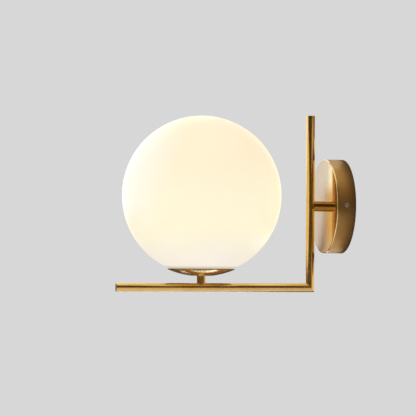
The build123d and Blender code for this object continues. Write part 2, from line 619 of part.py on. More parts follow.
def bulb_housing():
    """White plastic body: a flared cup that carries the lamp's board and its dome."""
    wall = HOUSING_WALL
    neck, joint = COLLAR_R + wall / 2, sqrt(BULB_R**2 - HOUSING_TOP_BELOW**2)
    top = HOUSING_TOP_Z
    floor = HOUSING_Z + 2 * wall
    edges = [
        Line((0, HOUSING_Z), (neck, HOUSING_Z)),
        SagittaArc((neck, HOUSING_Z), (joint, top), -HOUSING_WALL),
        Line((joint, top), (joint - wall, top)),
        Line((joint - wall, top), (joint - wall, top - BOARD_T)),
        Line((joint - wall, top - BOARD_T), (joint - 2 * wall, top - BOARD_T)),
        Line((joint - 2 * wall, top - BOARD_T), (neck - wall, floor)),
        Line((neck - wall, floor), (0, floor)),
        Line((0, floor), (0, HOUSING_Z)),
    ]
    return GLOBE_AXIS * turned_curve(edges)


def bulb_board():
    """Round metal board that carries the light sources, let into the body's rim."""
    radius = sqrt(BULB_R**2 - HOUSING_TOP_BELOW**2) - HOUSING_WALL - SLIP
    disc = rod(radius, (0, 0, HOUSING_TOP_Z - BOARD_T), (0, 0, HOUSING_TOP_Z))
    chip = Pos(0.6 * radius, 0, HOUSING_TOP_Z) * Box(CHIP_SIZE, CHIP_SIZE, 2 * CHIP_H)
    chips = [Rot(0, 0, 360 / CHIP_COUNT * i) * chip for i in range(CHIP_COUNT)]
    return GLOBE_AXIS * (disc + chips)


def bulb_diffuser():
    """Opal dome of the bulb."""
    inner = BULB_R - BULB_WALL
    low = HOUSING_TOP_BELOW
    foot, foot_inner = sqrt(BULB_R**2 - low**2), sqrt(inner**2 - low**2)
    edges = [
        ThreePointArc((0, BULB_R), (BULB_R, 0), (foot, -low)),
        Line((foot, -low), (foot_inner, -low)),
        ThreePointArc((foot_inner, -low), (inner, 0), (0, inner)),
        Line((0, inner), (0, BULB_R)),
    ]
    return Pos(0, GLOBE_Y, BULB_CENTRE_Z) * turned_curve(edges)


# ---------------------------------------------------------------- terminal block and earth
def terminal_body():
    """Two-pole plastic block: a bore for each clamp, screw wells in front and a hole for its fixing screw."""
    half_x, half_z = BLOCK_LENGTH / 2, BLOCK_H / 2
    front = -STRAP_T - BLOCK_DEPTH
    body = block((BLOCK_X - half_x, front, -half_z), (BLOCK_X + half_x, -STRAP_T, half_z))
    body = fillet(body.edges().filter_by(Axis.Y), BLOCK_CORNER_R)
    body -= block((BLOCK_X - BLOCK_GROOVE / 2, front - 1, -half_z - 1),
                  (BLOCK_X + BLOCK_GROOVE / 2, front + BLOCK_GROOVE, half_z + 1))
    body -= rod(BLOCK_SCREW_R + LOOSE, (BLOCK_X, 0, 0), (BLOCK_X, front - 1, 0))
    body -= rod(BLOCK_HEAD_R + LOOSE, (BLOCK_X, CLAMP_Y, 0), (BLOCK_X, front - 1, 0))
    for x in POLE_X:
        body -= rod(CLAMP_R + SLIP, (x, CLAMP_Y, -half_z - 1), (x, CLAMP_Y, half_z + 1))
        for z in (-CLAMP_SCREW_Z, CLAMP_SCREW_Z):
            body -= rod(CLAMP_SCREW_R + 2 * LOOSE, (x, CLAMP_Y, z), (x, front - 1, z))
    return body


def terminal_clamps():
    """The two brass sleeves that the leads are clamped in."""
    half = CLAMP_LENGTH / 2
    clamps = []
    for x in POLE_X:
        body = rod(CLAMP_R, (x, CLAMP_Y, -half), (x, CLAMP_Y, half))
        body -= rod(CLAMP_BORE_R, (x, CLAMP_Y, -half), (x, CLAMP_Y, half))
        for z in (-CLAMP_SCREW_Z, CLAMP_SCREW_Z):
            body -= rod(CLAMP_SCREW_R + SLIP, (x, CLAMP_Y, z), (x, CLAMP_Y - 2 * CLAMP_R, z))
        clamps.append(body)
    return clamps


def terminal_screws():
    """Slotted grub screws of the clamps, driven down to the leads."""
    tip_y = CLAMP_Y - WIRE_R - SLIP
    head_y = -STRAP_T - BLOCK_DEPTH + CLAMP_SCREW_SUNK
    slot_half, slot_y = CLAMP_SCREW_SLOT / 2, head_y + CLAMP_SCREW_SLOT
    screws = []
    for x in POLE_X:
        for z in (-CLAMP_SCREW_Z, CLAMP_SCREW_Z):
            body = rod(CLAMP_SCREW_R, (x, tip_y, z), (x, head_y, z))
            slot = block((x - slot_half, head_y - 1, z - CLAMP_R), (x + slot_half, slot_y, z + CLAMP_R))
            screws.append(body - slot)
    return screws


def terminal_fixing_screw():
    """Screw that holds the block to the strap."""
    screw = cross_screw(BLOCK_HEAD_R, BLOCK_HEAD_H, BLOCK_SCREW_R, abs(CLAMP_Y))
    return Plane(origin=(BLOCK_X, CLAMP_Y, 0), z_dir=(0, -1, 0)) * screw


def earth_screw():
    """Earth screw in the strap; its head clamps the cup washer and the eyelet."""
    seat_y = -STRAP_T - EYELET_T - WASHER_T
    screw = cross_screw(EARTH_HEAD_R, EARTH_HEAD_H, EARTH_SCREW_R, abs(seat_y))
    return Plane(origin=(EARTH_X, seat_y, 0), z_dir=(0, -1, 0)) * screw


def earth_washer():
    """Flat washer under the earth screw's head."""
    seat = Plane(origin=(EARTH_X, -STRAP_T - EYELET_T, 0), z_dir=(0, -1, 0))
    return seat * flat_ring(EARTH_WASHER_R, EARTH_SCREW_R + LOOSE, WASHER_T)


def eyelet(hole_r, ring_r, barrel_start):
    """Ring tongue lying on Z = 0 with its crimp barrel along +X."""
    barrel_end = barrel_start + EYELET_BARREL_LENGTH
    body = extrude(Circle(ring_r), EYELET_T)
    body += block((0, -EYELET_BARREL_R, 0), (barrel_start + EYELET_T, EYELET_BARREL_R, EYELET_T))
    body += rod(EYELET_BARREL_R, (barrel_start, 0, EYELET_BARREL_R), (barrel_end, 0, EYELET_BARREL_R))
    body -= extrude(Circle(hole_r), 2 * EYELET_T, both=True)
    bore_start = (barrel_start + EYELET_T, 0, EYELET_BARREL_R)
    return body - rod(WIRE_R + SLIP, bore_start, (barrel_end, 0, EYELET_BARREL_R))


def earth_eyelets():
    """Crimped eyelets at the two ends of the earth wire: one on the strap, one under the canopy's nut."""
    on_strap = Plane(origin=(EARTH_X, -STRAP_T, 0), x_dir=(0, 0, 1), z_dir=(0, -1, 0))
    on_canopy = Plane(origin=(0, CANOPY_INNER_Y + WASHER_T, 0), x_dir=(-1, 0, 0), z_dir=(0, 1, 0))
    return [on_strap * eyelet(EARTH_SCREW_R + LOOSE, STRAP_EYELET_R, STRAP_BARREL),
            on_canopy * eyelet(NIPPLE_R + LOOSE, CANOPY_EYELET_R, CANOPY_BARREL)]


def earth_wire():
    """Short loop of wire from the strap's eyelet up and over to the canopy's eyelet."""
    start_y = -STRAP_T - EYELET_BARREL_R
    end_y = CANOPY_INNER_Y + WASHER_T + EYELET_BARREL_R
    start_z = STRAP_BARREL + EYELET_T + MOVE_GAP
    end_x = -(CANOPY_BARREL + EYELET_T + MOVE_GAP)
    out_x = EARTH_X - EARTH_LOOP_OUT
    points = [(EARTH_X, start_y, start_z), (EARTH_X, start_y, EARTH_LOOP_Z), (out_x, end_y, EARTH_LOOP_Z),
              (out_x, end_y, 0), (end_x, end_y, 0)]
    return wire(points, [EARTH_BEND, EARTH_BEND, EARTH_BEND])


def lamp_wire(side):
    """One insulated lead from its clamp, through the stub, down and along the arm and up to its rivet."""
    pole, over_z = (POLE_X[0], LEAD_OVER_Z) if side > 0 else (POLE_X[1], LEAD_OVER_Z + LEAD_STEP)
    x, end_x = side * WIRE_X, side * RIVET_X
    turn_z = STEM_NIPPLE_TOP + WIRE_R
    end_z = HOLDER_Z + RIVET_UP
    points = [(pole, CLAMP_Y, 0), (pole, CLAMP_Y, over_z), (x, CLAMP_Y, over_z), (x, CLAMP_Y, 0),
              (x, UPRIGHT_Y, 0), (x, UPRIGHT_Y, ARM_Z), (x, GLOBE_Y, ARM_Z), (x, GLOBE_Y, turn_z),
              (end_x, GLOBE_Y, HOLDER_Z - WIRE_R), (end_x, GLOBE_Y, end_z)]
    in_canopy, in_tube = [LEAD_BEND, LEAD_BEND, LEAD_BEND], [TUBE_BORE_R, CORNER_BEND, TUBE_BORE_R]
    return wire(points, in_canopy + in_tube + [HOLDER_BEND, HOLDER_BEND])


# ---------------------------------------------------------------- assembly
def build():
    """Every sub-part by its node name, as a shape or a list of solids."""
    canopy_nipple, canopy_washer, canopy_nut = canopy_stack()
    stem_nipple, stem_washer, stem_nut = stem_stack()
    return {
        "wall_strap": wall_strap(),
        "canopy_cover": canopy_cover(),
        "canopy_side_screws": canopy_side_screws(),
        "canopy_nipple": canopy_nipple,
        "canopy_washer": canopy_washer,
        "canopy_nut": canopy_nut,
        "canopy_stub": canopy_stub(),
        "upright_tube": upright_tube(),
        "lower_tube": lower_tube(),
        "upright_end_plug": Pos(0, UPRIGHT_Y, UPRIGHT_RISE) * end_plug(),
        "lower_end_plug": Plane(origin=(0, ARM_END_Y, ARM_Z), z_dir=(0, -1, 0)) * end_plug(),
        "stem_sleeve": stem_sleeve(),
        "stem_nipple": stem_nipple,
        "stem_washer": stem_washer,
        "stem_nut": stem_nut,
        "dish": dish(),
        "seat_ring": seat_ring(),
        "globe_spring": globe_spring(),
        "globe": globe(),
        "lampholder_bracket": lampholder_bracket(),
        "lampholder_body": lampholder_body(),
        "lampholder_screws": lampholder_screws(),
        "contact_rivets": contact_rivets(),
        "centre_contact": centre_contact(),
        "screw_shell": screw_shell(),
        "bulb_contact": bulb_contact(),
        "bulb_insulator": bulb_insulator(),
        "bulb_cap": bulb_cap(),
        "bulb_housing": bulb_housing(),
        "bulb_board": bulb_board(),
        "bulb_diffuser": bulb_diffuser(),
        "terminal_body": terminal_body(),
        "terminal_clamps": terminal_clamps(),
        "terminal_screws": terminal_screws(),
        "terminal_fixing_screw": terminal_fixing_screw(),
        "earth_screw": earth_screw(),
        "earth_washer": earth_washer(),
        "earth_eyelets": earth_eyelets(),
        "earth_wire": earth_wire(),
        "live_wire": lamp_wire(1),
        "neutral_wire": lamp_wire(-1),
    }


if __name__ == "__main__":
    os.makedirs("parts", exist_ok=True)
    for node, shape in build().items():
        solids = shape if isinstance(shape, list) else [shape]
        made = Compound([s for piece in solids for s in piece.solids()])
        export_step(made, f"parts/{node}.step")
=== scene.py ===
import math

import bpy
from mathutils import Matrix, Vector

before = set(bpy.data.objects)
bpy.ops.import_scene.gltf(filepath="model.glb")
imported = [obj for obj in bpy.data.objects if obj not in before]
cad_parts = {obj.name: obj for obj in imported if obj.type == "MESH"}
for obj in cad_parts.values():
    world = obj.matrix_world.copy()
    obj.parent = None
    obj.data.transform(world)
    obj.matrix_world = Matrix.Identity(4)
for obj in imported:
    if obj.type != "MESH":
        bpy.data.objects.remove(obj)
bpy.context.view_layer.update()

# Materials, light and camera for the globe wall sconce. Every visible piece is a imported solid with
# a procedural material; no piece is added or replaced. Lengths are in metres, in the solids' frame:
# the origin is on the mounting plane at the canopy's centre, the lamp reaches out towards -Y, and
# +Z is up.

scene = bpy.context.scene

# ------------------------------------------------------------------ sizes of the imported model
GLOBE_Y, GLOBE_Z = -0.1835, 0.0114     # the globe's centre
GLOBE_R = 0.100
UPRIGHT_Y = -0.0415                    # the upright tube's axis
ARM_Z = -0.104                         # the lower tube's axis
DISH_Z = -0.0892                       # the dish's underside
DISH_RIM_Z = DISH_Z + 0.0078           # where the dish's rim begins
CANOPY_FACE_Y = -0.024


# ------------------------------------------------------------------ nodes
RISE, FALL = (0.0, 1.0), (1.0, 0.0)    # what a ramp gives at its two ends
NOISE = (0.30, 0.70)                   # where most values of a Noise texture lie
UPPER_NOISE = (0.35, 0.70)             # the same, with fewer patches
PATCHES = (0.35, 0.75)                 # the same, with fewer and softer patches


def new_material(name):
    """A material with only a Principled shader and its output, its node tree and the shader."""
    material = bpy.data.materials.new(name)
    material.use_nodes = True
    tree = material.node_tree
    tree.nodes.clear()
    output = tree.nodes.new("ShaderNodeOutputMaterial")
    shader = tree.nodes.new("ShaderNodeBsdfPrincipled")
    tree.links.new(shader.outputs["BSDF"], output.inputs["Surface"])
    return material, tree, shader


def add(tree, kind, settings=None, **inputs):
    """A node with its settings, and its inputs set to values or linked to sockets.

    An input goes by its name, or by an underscore and its number where several share a name.
    """
    node = tree.nodes.new(kind)
    for key, value in (settings or {}).items():
        setattr(node, key, value)
    for key, value in inputs.items():
        socket = node.inputs[int(key[1:]) if key.startswith("_") else key]
        if isinstance(value, bpy.types.NodeSocket):
            tree.links.new(value, socket)
        else:
            socket.default_value = value
    return node


def math_node(tree, operation, a, b=0.0, clamp=False):
    """The result of a Math node."""
    settings = {"operation": operation, "use_clamp": clamp}
    return add(tree, "ShaderNodeMath", settings, _0=a, _1=b).outputs[0]


def place(tree):
    """The point in the shared frame, in metres, because every object here sits at the origin."""
    return tree.nodes.new("ShaderNodeTexCoord").outputs["Object"]


def coordinates(tree):
    """The point's x, y and z."""
    return tuple(add(tree, "ShaderNodeSeparateXYZ", Vector=place(tree)).outputs)


def stretched(tree, scale):
    """The point with each axis scaled by a factor of its own."""
    return add(tree, "ShaderNodeMapping", Vector=place(tree), Scale=scale).outputs["Vector"]


def noise(tree, scale=1.0, detail=2.0, roughness=0.5, vector=None):
    """The value of a Noise texture at the point, or at vector."""
    node = add(tree, "ShaderNodeTexNoise", Vector=vector or place(tree), Scale=scale,
               Detail=detail, Roughness=roughness)
    return node.outputs["Fac"]


def grain_noise(tree, vector):
    """The value of the Noise texture for a grain, whose vector already has its scale."""
    return noise(tree, 1.0, 3.0, 0.6, vector)


def ramp(tree, value, span, result=RISE):
    """value carried from span to result, which are pairs of numbers, and held at their ends."""
    ends = {"From Min": span[0], "From Max": span[1], "To Min": result[0], "To Max": result[1]}
    return add(tree, "ShaderNodeMapRange", Value=value, **ends).outputs["Result"]


def blend_colours(tree, share, first, second):
    """A colour between two, with share of the second."""
    first, second = (colour if isinstance(colour, bpy.types.NodeSocket) else (*colour, 1.0)
                     for colour in (first, second))
    node = add(tree, "ShaderNodeMix", {"data_type": "RGBA"}, _0=share, _6=first, _7=second)
    return node.outputs[2]


def blend_values(tree, share, first, second):
    """A value between two, with share of the second."""
    node = add(tree, "ShaderNodeMix", {"data_type": "FLOAT"}, _0=share, _2=first, _3=second)
    return node.outputs[0]


def darker(colour, factor):
    """The colour with its brightness times factor."""
    return tuple(c * factor for c in colour)


def set_surface(tree, shader, colour, roughness, metallic=0.0):
    """Gives the shader a surface's colour and roughness."""
    tree.links.new(colour, shader.inputs["Base Color"])
    tree.links.new(roughness, shader.inputs["Roughness"])
    shader.inputs["Metallic"].default_value = metallic


def bump(tree, shader, height, depth):
    """Bump from a height of 0 to 1, depth deep in metres."""
    node = add(tree, "ShaderNodeBump", Height=height, Distance=depth)
    tree.links.new(node.outputs["Normal"], shader.inputs["Normal"])


def polar(tree, centre, axes):
    """The point's distance from centre in the plane of two axes, and its angle there."""
    point = add(tree, "ShaderNodeVectorMath", {"operation": "SUBTRACT"}, _0=place(tree), _1=centre)
    parts = add(tree, "ShaderNodeSeparateXYZ", Vector=point.outputs[0])
    a, b = (parts.outputs[axis] for axis in axes)
    square = math_node(tree, "ADD", math_node(tree, "MULTIPLY", a, a),
                       math_node(tree, "MULTIPLY", b, b))
    return math_node(tree, "SQRT", square), math_node(tree, "ARCTAN2", a, b)


# ------------------------------------------------------------------ brass
FINE, SLOW = 5200.0, 26.0              # noise cells to a metre, across the grain and along it
X, Y, Z = 0, 1, 2                      # axes
BRASS, BRASS_DEEP = (0.82, 0.565, 0.185), (0.64, 0.39, 0.10)
# painted shade: the stub's brass is made darker for the shade it sits in
STUB_SHADED_BRASS, STUB_SHADED_DEEP = (0.40, 0.215, 0.050), (0.28, 0.14, 0.028)
PLUG_BRASS, PLUG_DEEP = (0.60, 0.38, 0.12), (0.42, 0.25, 0.06)
# painted shade for the dish's rim, where the glass sits on it
RIM_PAINTED_SHADE = (0.33, 0.21, 0.075)
# the canopy side's darker colours are painted shade; its coarser grain and roughness are real
SIDE_SHADED_BRASS, SIDE_SHADED_DEEP, SIDE_SHADED_HOOPS = (0.50, 0.325, 0.115), (0.40, 0.245, 0.075), (0.40, 0.24, 0.07)
FACE_BRASS, FACE_DEEP = (0.84, 0.62, 0.27), (0.78, 0.54, 0.20)


def brass(name, grain, base=BRASS, deep=BRASS_DEEP, roughness=0.24, spread=0.10, groove=1.2e-6,
          tone=None):
    """Satin brass with a fine grain, faint clouds of a deeper colour and marks of handling.

    grain(tree) gives the grain's vector and tone(tree, colour) changes the colour. spread is how
    far the grain varies the roughness, and groove is the grain's depth.
    """
    material, tree, shader = new_material(name)
    lines = grain_noise(tree, grain(tree))
    clouds = noise(tree, 38.0, 3.0, 0.55)
    handled = noise(tree, 160.0, 2.0, 0.5)
    colour = blend_colours(tree, ramp(tree, clouds, PATCHES, (0.0, 0.45)), base, deep)
    colour = blend_colours(tree, ramp(tree, lines, NOISE, (0.22, 0.0)), colour, deep)
    if tone:
        colour = tone(tree, colour)
    polish = math_node(tree, "ADD", ramp(tree, lines, NOISE, (-spread / 2, spread / 2)),
                       ramp(tree, handled, UPPER_NOISE, (roughness - 0.02, roughness + 0.03)))
    set_surface(tree, shader, colour, polish, 1.0)
    bump(tree, shader, lines, groove)
    return material


def along(scale):
    """Straight grain, along the axis whose scale is small."""
    return lambda tree: stretched(tree, scale)


def rings(centre, axes, fine, slow):
    """Grain in circles about centre, in the plane of two axes."""
    def vector(tree):
        radius, angle = polar(tree, centre, axes)
        node = add(tree, "ShaderNodeCombineXYZ", X=math_node(tree, "MULTIPLY", radius, fine),
                   Y=math_node(tree, "MULTIPLY", angle, slow), Z=0.0)
        return node.outputs[0]
    return vector


def painted_shade_rim(tree, colour):
    """The dish's colour, with painted shade on its rim where the glass sits on it."""
    height = coordinates(tree)[Z]
    # painted shade: the rim is made darker where the glass meets the dish
    rim_shade_mask = ramp(tree, height, (DISH_RIM_Z - 0.0003, DISH_RIM_Z))
    return blend_colours(tree, rim_shade_mask, colour, RIM_PAINTED_SHADE)


def canopy_brass():
    """The canopy: a polished face and a side with coarser grain in a darker colour that is painted
    shade, with circular grain on both.
    """
    material, tree, shader = new_material("brass_canopy")
    depth = coordinates(tree)[Y]
    side = ramp(tree, depth, (CANOPY_FACE_Y + 0.0007, CANOPY_FACE_Y + 0.0010))
    hoops = grain_noise(tree, stretched(tree, (SLOW, FINE * 0.6, SLOW)))
    turned = noise(tree, vector=rings((0.0, 0.0, 0.0), (X, Z), FINE * 0.5, 2.0)(tree))
    clouds = noise(tree, 34.0, 3.0, 0.55)
    # the side's colour: painted shade over the real grain
    brushed_and_shaded = blend_colours(tree, ramp(tree, clouds, PATCHES, (0.0, 0.5)), SIDE_SHADED_BRASS, SIDE_SHADED_DEEP)
    brushed_and_shaded = blend_colours(tree, ramp(tree, hoops, NOISE, (0.35, 0.0)), brushed_and_shaded, SIDE_SHADED_HOOPS)
    polished = blend_colours(tree, ramp(tree, clouds, PATCHES, (0.0, 0.3)), FACE_BRASS, FACE_DEEP)
    roughness = blend_values(tree, side, ramp(tree, turned, NOISE, (0.085, 0.110)),
                             ramp(tree, hoops, NOISE, (0.30, 0.40)))
    set_surface(tree, shader, blend_colours(tree, side, polished, brushed_and_shaded), roughness, 1.0)
    bump(tree, shader, math_node(tree, "MULTIPLY", hoops, side), 1.2e-6)
    return material


TUBE = {"roughness": 0.19, "spread": 0.06, "groove": 6e-7}
brass_upright = brass("brass_upright", along((FINE, FINE, SLOW)), **TUBE)
brass_lower = brass("brass_lower", along((FINE, SLOW, FINE)), **TUBE)
brass_stem = brass("brass_turned_z", along((SLOW, SLOW, FINE)))
# the stub's brass, darkened as painted shade
brass_stub_painted_shade = brass("brass_stub_painted_shade", along((SLOW, FINE, SLOW)), STUB_SHADED_BRASS, STUB_SHADED_DEEP)
brass_plug = brass("brass_plug", rings((0.0, UPRIGHT_Y, 0.0), (X, Y), FINE, 3.0), PLUG_BRASS,
                   PLUG_DEEP, roughness=0.30)
brass_dish = brass("brass_dish", rings((0.0, GLOBE_Y, 0.0), (X, Y), FINE * 0.6, 3.0),
                   roughness=0.17, spread=0.05, groove=5e-7, tone=painted_shade_rim)
brass_canopy = canopy_brass()

# ------------------------------------------------------------------ glass and bulb
GLOW_LOW, GLOW_HIGH = (1.0, 0.915, 0.640), (0.985, 0.800, 0.530)
GLOW_FOOT = (0.93, 0.840, 0.730)
GLOW_PAINTED_LIGHT = (0.91, 0.885, 0.775)       # painted light: paler high on the -Y side, where outside light falls
GLOW_PAINTED_SHADE = (0.50, 0.425, 0.31)     # painted shade: a narrow ring where the glass meets the dish
BULB_WARM, BULB_COOL = (1.0, 0.90, 0.70), (1.0, 0.93, 0.78)


def opal_glass():
    """Lit opal glass: deeper above, paler at the foot, with painted light high on the -Y side and
    painted shade at the dish.
    """
    material, tree, shader = new_material("opal_glass")

    def in_radii(value, centre):
        """How far the value is from the centre, in the globe's radii."""
        scaled = math_node(tree, "DIVIDE", value, GLOBE_R)
        return math_node(tree, "SUBTRACT", scaled, centre / GLOBE_R)

    _, y, z = coordinates(tree)
    across, height = in_radii(y, GLOBE_Y), in_radii(z, GLOBE_Z)
    clouds = ramp(tree, noise(tree, 8.0, 2.0, 0.4), NOISE, (-0.10, 0.10))
    clouded = math_node(tree, "ADD", height, clouds)
    painted_light_slant = math_node(tree, "SUBTRACT", math_node(tree, "MULTIPLY", height, 0.35), across)
    glow = blend_colours(tree, ramp(tree, clouded, (-0.05, 0.85)), GLOW_LOW, GLOW_HIGH)
    glow = blend_colours(tree, ramp(tree, clouded, (-0.92, -0.50), FALL), glow, GLOW_FOOT)
    # painted light on the -Y side of the glass
    glow = blend_colours(tree, ramp(tree, painted_light_slant, (0.60, 1.10)), glow, GLOW_PAINTED_LIGHT)
    # painted shade where the glass meets the dish
    glow = blend_colours(tree, ramp(tree, height, (-0.922, -0.876), FALL), glow, GLOW_PAINTED_SHADE)
    roughness = ramp(tree, noise(tree, 90.0, 2.0, 0.5), NOISE, (0.30, 0.36))
    tree.links.new(glow, shader.inputs["Emission Color"])
    tree.links.new(roughness, shader.inputs["Roughness"])
    shader.inputs["Base Color"].default_value = (0.106, 0.106, 0.104, 1.0)
    shader.inputs["Emission Strength"].default_value = 0.88
    shader.inputs["Specular IOR Level"].default_value = 0.30
    bump(tree, shader, noise(tree, 26.0, 1.0, 0.4), 3e-5)
    return material


def bulb_opal():
    """The lit bulb: warm at its middle and a little cooler further out, with soft clouds."""
    material, tree, shader = new_material("bulb_opal")
    clouds = noise(tree, 40.0, 2.0, 0.4)
    out = add(tree, "ShaderNodeVectorMath", {"operation": "DISTANCE"}, _0=place(tree),
              _1=(0.0, GLOBE_Y, 0.0))
    cooler = math_node(tree, "ADD", ramp(tree, out.outputs["Value"], (0.0, 0.03)),
                       ramp(tree, clouds, NOISE, (-0.18, 0.18)), clamp=True)
    glow = blend_colours(tree, cooler, BULB_WARM, BULB_COOL)
    tree.links.new(glow, shader.inputs["Emission Color"])
    shader.inputs["Base Color"].default_value = (0.5, 0.5, 0.48, 1.0)
    shader.inputs["Emission Strength"].default_value = 0.62
    shader.inputs["Roughness"].default_value = 0.45
    bump(tree, shader, noise(tree, 300.0, 1.0, 0.4), 1e-5)
    return material


opal = opal_glass()
bulb_glow = bulb_opal()


# ------------------------------------------------------------------ other materials
def metal(name, base, roughness, grain):
    """Plated or plain metal with spangle and faint rolling marks; grain is their scale by axis."""
    material, tree, shader = new_material(name)
    lines = grain_noise(tree, stretched(tree, grain))
    cells = noise(tree, 420.0, 3.0, 0.6)
    colour = blend_colours(tree, ramp(tree, cells, UPPER_NOISE), base, darker(base, 0.76))
    polish = math_node(tree, "ADD", ramp(tree, lines, NOISE, (-0.05, 0.06)),
                       ramp(tree, cells, NOISE, (roughness - 0.04, roughness + 0.05)))
    set_surface(tree, shader, colour, polish, 1.0)
    bump(tree, shader, lines, 6e-7)
    return material


def solid(name, base, roughness, patch=0.90, scale=700.0, depth=8e-6, coat=0.0):
    """Plastic, ceramic or rubber with a fine moulded surface and patches darker by factor patch."""
    material, tree, shader = new_material(name)
    fine = noise(tree, scale, 3.0, 0.55)
    broad = noise(tree, 60.0, 2.0, 0.5)
    colour = blend_colours(tree, ramp(tree, broad, (0.30, 0.75)), base, darker(base, patch))
    polish = ramp(tree, fine, NOISE, (roughness - 0.05, roughness + 0.06))
    set_surface(tree, shader, colour, polish)
    shader.inputs["Coat Weight"].default_value = coat
    bump(tree, shader, fine, depth)
    return material


def striped():
    """Green insulation with yellow stripes, about 6 mm apart across x + z."""
    material, tree, shader = new_material("wire_green")
    x, _, z = coordinates(tree)
    turns = math_node(tree, "MULTIPLY", math_node(tree, "ADD", x, z), 1100.0)
    band = ramp(tree, math_node(tree, "SINE", turns), (-0.15, 0.15))
    colour = blend_colours(tree, band, (0.035, 0.22, 0.030), (0.62, 0.52, 0.030))
    fine = noise(tree, 800.0, 2.0, 0.5)
    set_surface(tree, shader, colour, ramp(tree, fine, NOISE, (0.36, 0.46)))
    bump(tree, shader, fine, 6e-6)
    return material


zinc = metal("zinc_steel", (0.60, 0.61, 0.60), 0.34, (40.0, 900.0, 3000.0))
nickel = metal("nickel", (0.84, 0.81, 0.75), 0.13, (2500.0, 2500.0, 60.0))
spring = metal("spring_steel", (0.36, 0.37, 0.39), 0.30, (60.0, 3000.0, 3000.0))
raw_brass = metal("raw_brass", (0.80, 0.58, 0.26), 0.26, (900.0, 3000.0, 900.0))
tinned = metal("tinned_copper", (0.68, 0.65, 0.60), 0.32, (900.0, 900.0, 900.0))
tin = metal("solder_tin", (0.52, 0.52, 0.53), 0.36, (600.0, 600.0, 600.0))
board = metal("bulb_board", (0.80, 0.80, 0.79), 0.42, (2400.0, 40.0, 900.0))
glass_black = solid("black_insulator", (0.012, 0.012, 0.014), 0.12, coat=0.3)
white_body = solid("bulb_body_plastic", (0.74, 0.74, 0.72), 0.34)
cream = solid("terminal_plastic", (0.74, 0.72, 0.65), 0.42)
glaze = solid("ceramic", (0.76, 0.74, 0.68), 0.22, patch=0.94, scale=300.0, depth=1.2e-5, coat=0.5)
silicone = solid("silicone", (0.62, 0.61, 0.57), 0.58)
brown = solid("wire_brown", (0.115, 0.045, 0.018), 0.42)
blue = solid("wire_blue", (0.020, 0.075, 0.300), 0.42)
green = striped()

FINISH = {
    "canopy_cover": brass_canopy, "canopy_stub": brass_stub_painted_shade, "upright_tube": brass_upright,
    "upright_end_plug": brass_plug, "lower_tube": brass_lower, "lower_end_plug": brass_plug,
    "stem_sleeve": brass_stem, "dish": brass_dish, "globe": opal, "bulb_diffuser": bulb_glow,
    "bulb_housing": white_body, "bulb_board": board, "bulb_cap": nickel, "bulb_contact": tin,
    "bulb_insulator": glass_black, "canopy_side_screws": nickel, "screw_shell": nickel,
    "wall_strap": zinc, "canopy_washer": zinc, "canopy_nut": zinc, "stem_washer": zinc,
    "stem_nut": zinc, "lampholder_bracket": zinc, "lampholder_screws": zinc,
    "terminal_screws": zinc, "terminal_fixing_screw": zinc, "earth_washer": zinc,
    "globe_spring": spring, "canopy_nipple": raw_brass, "stem_nipple": raw_brass,
    "contact_rivets": raw_brass, "centre_contact": raw_brass, "terminal_clamps": raw_brass,
    "earth_screw": raw_brass, "earth_eyelets": tinned, "seat_ring": silicone,
    "lampholder_body": glaze, "terminal_body": cream, "live_wire": brown, "neutral_wire": blue,
    "earth_wire": green,
}
for node_name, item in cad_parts.items():
    for entry in item.material_slots:
        entry.material = FINISH[node_name]
    if not item.material_slots:
        item.data.materials.append(FINISH[node_name])


# ------------------------------------------------------------------ camera
PHOTO_PX = 416.0                       # the photograph's width
FOCAL_PX = 1500.0                      # focal length in its pixels
SENSOR = 36.0
CAMERA_PLACE = (1.8372, -0.5938, -0.0664)
YAW, PITCH, ROLL = math.radians(12.83), math.radians(1.89), math.radians(0.41)


def add_camera():
    """The camera at the photograph's viewing angle: YAW is from -X towards +Y, PITCH is up."""
    level = Vector((-math.cos(YAW), math.sin(YAW), 0.0))
    level_right = Vector((math.sin(YAW), math.cos(YAW), 0.0))
    ahead = level * math.cos(PITCH) + Vector((0.0, 0.0, 1.0)) * math.sin(PITCH)
    level_up = level_right.cross(ahead)
    right = level_right * math.cos(ROLL) + level_up * math.sin(ROLL)
    up = level_up * math.cos(ROLL) - level_right * math.sin(ROLL)
    data = bpy.data.cameras.new("camera")
    data.sensor_width = SENSOR
    data.lens = SENSOR * FOCAL_PX / PHOTO_PX
    data.clip_start, data.clip_end = 0.05, 60.0
    camera = bpy.data.objects.new("camera", data)
    scene.collection.objects.link(camera)
    turn = Matrix((right, up, -ahead)).transposed()
    camera.matrix_world = Matrix.Translation(CAMERA_PLACE) @ turn.to_4x4()
    scene.camera = camera


add_camera()

# ------------------------------------------------------------------ light and background
FILL, FILL_LEVEL = (0.97, 0.98, 1.0), 0.76
PALE = (0.680, 0.680, 0.688)           # the background as camera and reflections see it
AIM = (0.0, -0.12, 0.0)
LAMPS = (
    # name, place, aim, width, watts
    ("key", (0.4, -2.9, 0.9), AIM, 1.6, 39.0),
    ("top", (0.0, -0.3, 2.4), (0.0, -0.15, 0.0), 2.0, 20.0),
    ("fill", (2.2, 1.6, 0.6), AIM, 1.5, 18.0),
    ("rear", (-2.2, -0.6, 0.9), AIM, 1.8, 25.0),
)


